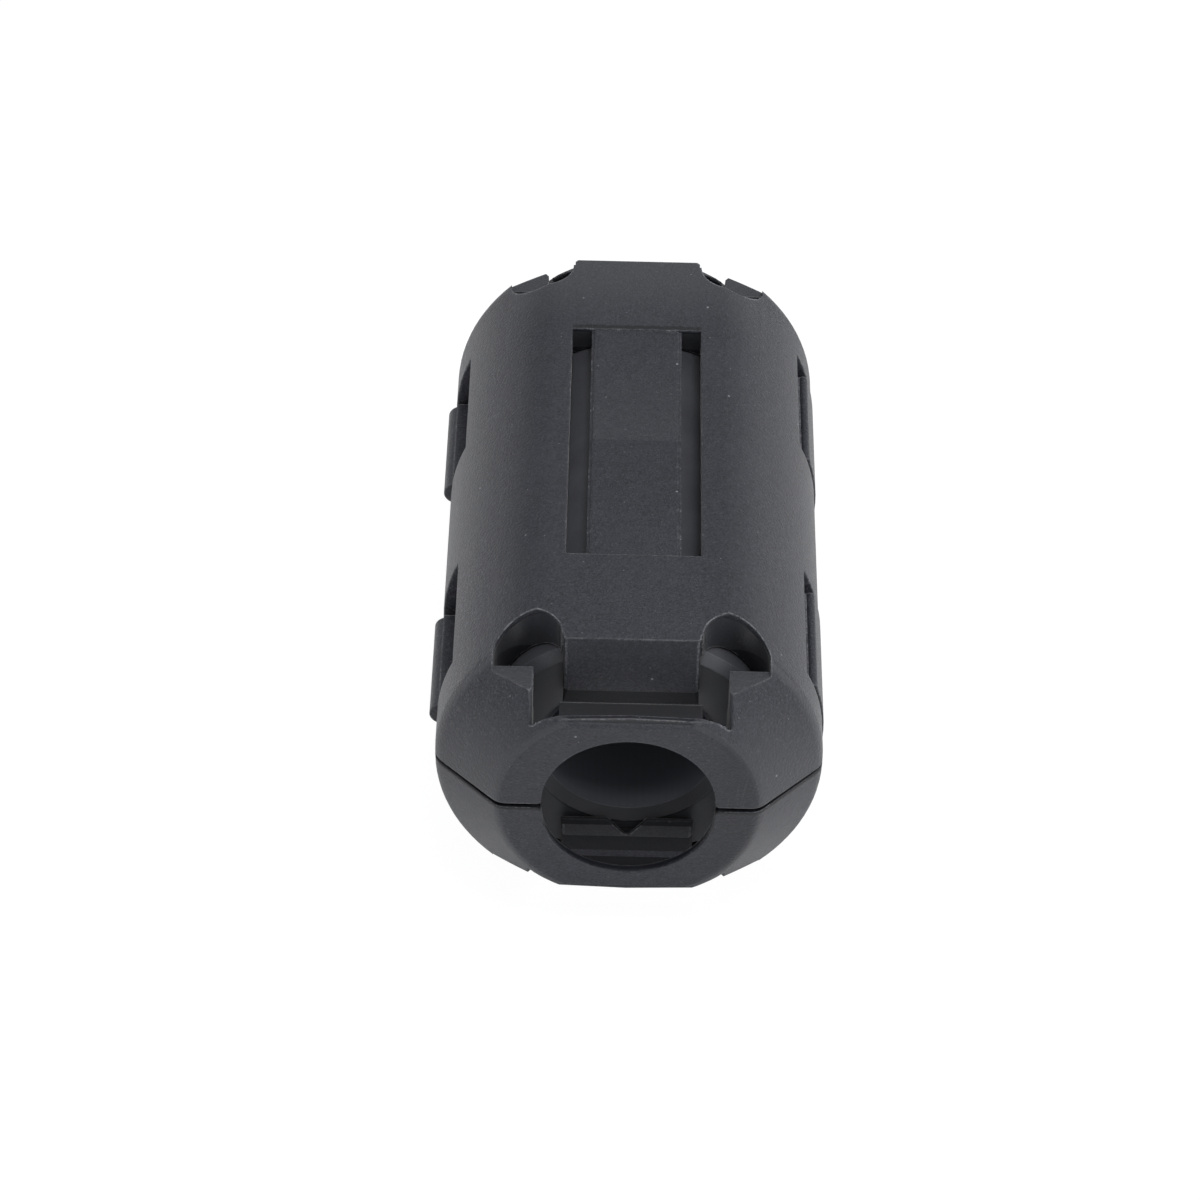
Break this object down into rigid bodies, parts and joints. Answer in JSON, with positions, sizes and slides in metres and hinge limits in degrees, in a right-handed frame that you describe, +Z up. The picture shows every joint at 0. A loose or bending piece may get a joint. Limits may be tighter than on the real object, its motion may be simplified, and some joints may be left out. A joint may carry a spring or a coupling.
{
  "type": "clip-on ferrite bead",
  "caption": "Clip-on ferrite bead: two half shells on folding straps close round a cable, hold two half cores and latch.",
  "frame": {"origin": "middle of the cable bore, on the split plane between the two halves", "axes": "+Y along the cable, +X towards the folding straps, +Z up through the upper half"},
  "size_m": [0.0205, 0.0366, 0.0178],
  "materials": {
    "nylon": "spark-eroded matte",
    "ferrite": "as sintered"
  },
  "bodies": {
    "lower_half": {"lower_shell": "nylon", "lower_core": "ferrite"},
    "hinge_straps": {"front_strap": "nylon", "rear_strap": "nylon"},
    "upper_half": {"upper_shell": "nylon", "upper_core": "ferrite"}
  },
  "joints": [
    {"name": "lower_fold", "type": "hinge", "parent": "lower_half", "child": "hinge_straps", "pos_m": [0.00941, 0, -0.003], "axis": [0, 1, 0], "range_deg": [0, 90]},
    {"name": "upper_fold", "type": "hinge", "parent": "hinge_straps", "child": "upper_half", "pos_m": [0.00941, 0, 0.003], "axis": [0, 1, 0], "range_deg": [0, 90]}
  ]
}
